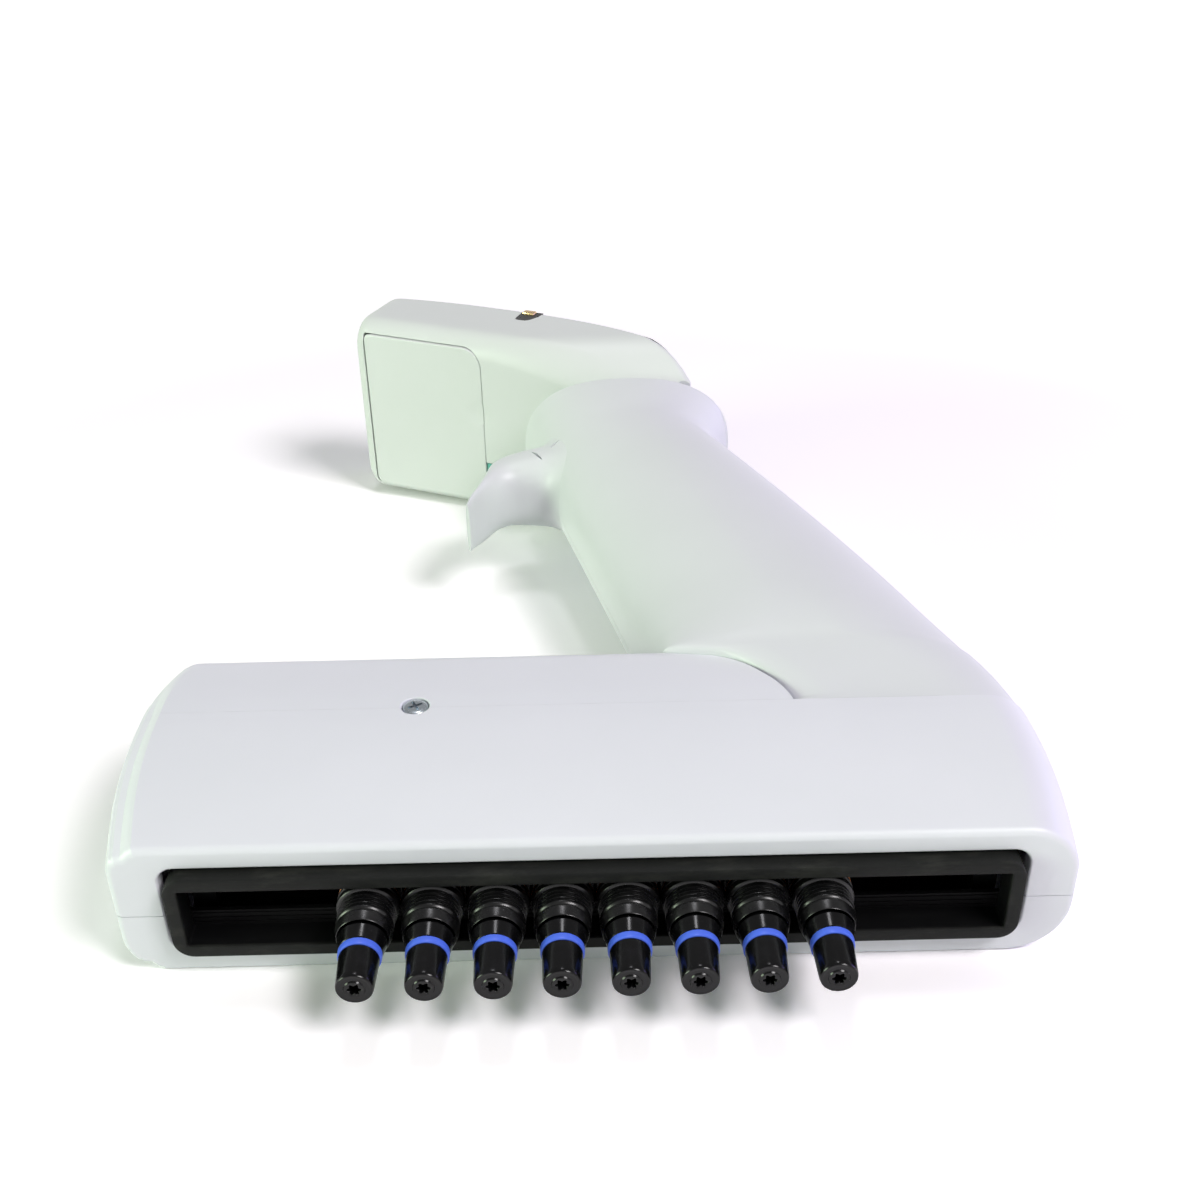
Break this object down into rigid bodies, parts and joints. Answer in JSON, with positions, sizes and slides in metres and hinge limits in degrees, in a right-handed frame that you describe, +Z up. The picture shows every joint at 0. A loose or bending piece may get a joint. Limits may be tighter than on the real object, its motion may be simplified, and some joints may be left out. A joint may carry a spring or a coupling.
{
  "type": "electronic multichannel pipette",
  "caption": "Cordless handheld pipette with a row of spreading nozzles in a wide nose, a tip ejector frame, a leaning handle with a finger hook and an angled display head.",
  "frame": {"origin": "centre of the bounding box's base, which is the bench plane that the nose and head rest on", "axes": "+Y runs from the nozzles along the body to the head, +X along the nozzle row towards the thumb side, +Z up from the bench while the pipette lies on its back"},
  "size_m": [0.1374, 0.203, 0.0455],
  "materials": {
    "off_white_abs": "fine satin moulding",
    "cover_abs": "fine satin moulding",
    "black_plastic": "smooth moulding",
    "frame_plastic": "fine matte grain",
    "blue_plastic": "smooth moulding",
    "nozzle_plastic": "polished moulding",
    "teal_plastic": "smooth moulding",
    "grey_plastic": "fine matte grain",
    "screen_glass": "clear hard coat over a dark display",
    "board_green": "lacquered board",
    "ground_steel": "ground",
    "battery_wrap": "shrunk film"
  },
  "bodies": {
    "housing": {"nose_upper": "off_white_abs", "nose_under": "off_white_abs", "rear_cover_upper": "cover_abs", "rear_cover_under": "cover_abs", "cover_screw": "ground_steel", "handle_upper": "cover_abs", "handle_under": "cover_abs", "head_shell": "off_white_abs", "display_bezel": "black_plastic", "display_window": "screen_glass", "display_module": "grey_plastic", "touch_wheel": "grey_plastic", "circuit_board": "board_green", "battery_pack": "battery_wrap", "contact_block": "black_plastic", "finger_hook": "cover_abs", "guide_rod_top": "ground_steel", "guide_rod_under": "ground_steel", "nozzle_chassis": "black_plastic", "spacing_motor": "grey_plastic", "cylinder_block": "grey_plastic", "piston_motor": "grey_plastic"},
    "spacing_drive": {"spacing_plate": "grey_plastic", "spacing_screw": "ground_steel"},
    "ejector_frame": {"ejector_frame": "frame_plastic"},
    "ejector_button": {"ejector_button": "grey_plastic", "ejector_rod": "ground_steel"},
    "pistons": {"piston_plate": "ground_steel", "lead_screw": "ground_steel"},
    "ok_button": {"ok_button": "grey_plastic"},
    "left_key": {"left_key": "grey_plastic"},
    "right_key": {"right_key": "grey_plastic"},
    "battery_door": {"battery_door": "off_white_abs"},
    "door_latch": {"door_latch": "teal_plastic"},
    "fitting_1": {"nozzle_1": "nozzle_plastic", "colour_ring_1": "blue_plastic"},
    "sleeve_1": {"sleeve_1": "black_plastic"},
    "fitting_2": {"nozzle_2": "nozzle_plastic", "colour_ring_2": "blue_plastic"},
    "sleeve_2": {"sleeve_2": "black_plastic"},
    "fitting_3": {"nozzle_3": "nozzle_plastic", "colour_ring_3": "blue_plastic"},
    "sleeve_3": {"sleeve_3": "black_plastic"},
    "fitting_4": {"nozzle_4": "nozzle_plastic", "colour_ring_4": "blue_plastic"},
    "sleeve_4": {"sleeve_4": "black_plastic"},
    "fitting_5": {"nozzle_5": "nozzle_plastic", "colour_ring_5": "blue_plastic"},
    "sleeve_5": {"sleeve_5": "black_plastic"},
    "fitting_6": {"nozzle_6": "nozzle_plastic", "colour_ring_6": "blue_plastic"},
    "sleeve_6": {"sleeve_6": "black_plastic"},
    "fitting_7": {"nozzle_7": "nozzle_plastic", "colour_ring_7": "blue_plastic"},
    "sleeve_7": {"sleeve_7": "black_plastic"},
    "fitting_8": {"nozzle_8": "nozzle_plastic", "colour_ring_8": "blue_plastic"},
    "sleeve_8": {"sleeve_8": "black_plastic"}
  },
  "joints": [
    {"name": "spacing_slide", "type": "slide", "parent": "housing", "child": "spacing_drive", "axis": [0, 0.9978, 0.066], "range_m": [0, 0.008]},
    {"name": "ejector_press", "type": "slide", "parent": "housing", "child": "ejector_button", "axis": [0.314, -0.9474, -0.0626], "range_m": [0, 0.0042], "stiffness_N_per_m": 250},
    {"name": "ejector_frame_slide", "type": "slide", "parent": "housing", "child": "ejector_frame", "axis": [0, -0.9978, -0.066], "range_m": [0, 0.00399]},
    {"name": "piston_slide", "type": "slide", "parent": "housing", "child": "pistons", "axis": [-0.314, 0.9474, 0.0626], "range_m": [0, 0.018]},
    {"name": "battery_door_hinge", "type": "hinge", "parent": "housing", "child": "battery_door", "pos_m": [-0.04943, 0.08327, 0.02265], "axis": [0, 0.066, -0.9978], "range_deg": [0, 60]},
    {"name": "door_latch_slide", "type": "slide", "parent": "housing", "child": "door_latch", "axis": [0.9184, -0.3947, -0.0261], "range_m": [0, 0.0015], "stiffness_N_per_m": 200},
    {"name": "ok_button_press", "type": "slide", "parent": "housing", "child": "ok_button", "axis": [-0.3955, -0.9164, -0.0606], "range_m": [0, 0.0007], "stiffness_N_per_m": 400},
    {"name": "left_key_press", "type": "slide", "parent": "housing", "child": "left_key", "axis": [-0.3955, -0.9164, -0.0606], "range_m": [0, 0.0007], "stiffness_N_per_m": 400},
    {"name": "right_key_press", "type": "slide", "parent": "housing", "child": "right_key", "axis": [-0.3955, -0.9164, -0.0606], "range_m": [0, 0.0007], "stiffness_N_per_m": 400},
    {"name": "fitting_1_slide", "type": "slide", "parent": "housing", "child": "fitting_1", "axis": [-1, 0, 0], "range_m": [0, 0.0175]},
    {"name": "sleeve_1_slide", "type": "slide", "parent": "fitting_1", "child": "sleeve_1", "axis": [0, -0.9978, -0.066], "range_m": [0, 0.00399]},
    {"name": "fitting_2_slide", "type": "slide", "parent": "housing", "child": "fitting_2", "axis": [-1, 0, 0], "range_m": [0, 0.0125]},
    {"name": "sleeve_2_slide", "type": "slide", "parent": "fitting_2", "child": "sleeve_2", "axis": [0, -0.9978, -0.066], "range_m": [0, 0.00399]},
    {"name": "fitting_3_slide", "type": "slide", "parent": "housing", "child": "fitting_3", "axis": [-1, 0, 0], "range_m": [0, 0.0075]},
    {"name": "sleeve_3_slide", "type": "slide", "parent": "fitting_3", "child": "sleeve_3", "axis": [0, -0.9978, -0.066], "range_m": [0, 0.00399]},
    {"name": "fitting_4_slide", "type": "slide", "parent": "housing", "child": "fitting_4", "axis": [-1, 0, 0], "range_m": [0, 0.0025]},
    {"name": "sleeve_4_slide", "type": "slide", "parent": "fitting_4", "child": "sleeve_4", "axis": [0, -0.9978, -0.066], "range_m": [0, 0.00399]},
    {"name": "fitting_5_slide", "type": "slide", "parent": "housing", "child": "fitting_5", "axis": [1, 0, 0], "range_m": [0, 0.0025]},
    {"name": "sleeve_5_slide", "type": "slide", "parent": "fitting_5", "child": "sleeve_5", "axis": [0, -0.9978, -0.066], "range_m": [0, 0.00399]},
    {"name": "fitting_6_slide", "type": "slide", "parent": "housing", "child": "fitting_6", "axis": [1, 0, 0], "range_m": [0, 0.0075]},
    {"name": "sleeve_6_slide", "type": "slide", "parent": "fitting_6", "child": "sleeve_6", "axis": [0, -0.9978, -0.066], "range_m": [0, 0.00399]},
    {"name": "fitting_7_slide", "type": "slide", "parent": "housing", "child": "fitting_7", "axis": [1, 0, 0], "range_m": [0, 0.0125]},
    {"name": "sleeve_7_slide", "type": "slide", "parent": "fitting_7", "child": "sleeve_7", "axis": [0, -0.9978, -0.066], "range_m": [0, 0.00399]},
    {"name": "fitting_8_slide", "type": "slide", "parent": "housing", "child": "fitting_8", "axis": [1, 0, 0], "range_m": [0, 0.0175]},
    {"name": "sleeve_8_slide", "type": "slide", "parent": "fitting_8", "child": "sleeve_8", "axis": [0, -0.9978, -0.066], "range_m": [0, 0.00399]}
  ],
  "couplings": [
    {"joint": "ejector_frame_slide", "follows": "ejector_press", "ratio": 0.94942},
    {"joint": "fitting_1_slide", "follows": "spacing_slide", "ratio": 2.1875},
    {"joint": "sleeve_1_slide", "follows": "ejector_press", "ratio": 0.94942},
    {"joint": "fitting_2_slide", "follows": "spacing_slide", "ratio": 1.5625},
    {"joint": "sleeve_2_slide", "follows": "ejector_press", "ratio": 0.94942},
    {"joint": "fitting_3_slide", "follows": "spacing_slide", "ratio": 0.9375},
    {"joint": "sleeve_3_slide", "follows": "ejector_press", "ratio": 0.94942},
    {"joint": "fitting_4_slide", "follows": "spacing_slide", "ratio": 0.3125},
    {"joint": "sleeve_4_slide", "follows": "ejector_press", "ratio": 0.94942},
    {"joint": "fitting_5_slide", "follows": "spacing_slide", "ratio": 0.3125},
    {"joint": "sleeve_5_slide", "follows": "ejector_press", "ratio": 0.94942},
    {"joint": "fitting_6_slide", "follows": "spacing_slide", "ratio": 0.9375},
    {"joint": "sleeve_6_slide", "follows": "ejector_press", "ratio": 0.94942},
    {"joint": "fitting_7_slide", "follows": "spacing_slide", "ratio": 1.5625},
    {"joint": "sleeve_7_slide", "follows": "ejector_press", "ratio": 0.94942},
    {"joint": "fitting_8_slide", "follows": "spacing_slide", "ratio": 2.1875},
    {"joint": "sleeve_8_slide", "follows": "ejector_press", "ratio": 0.94942}
  ]
}
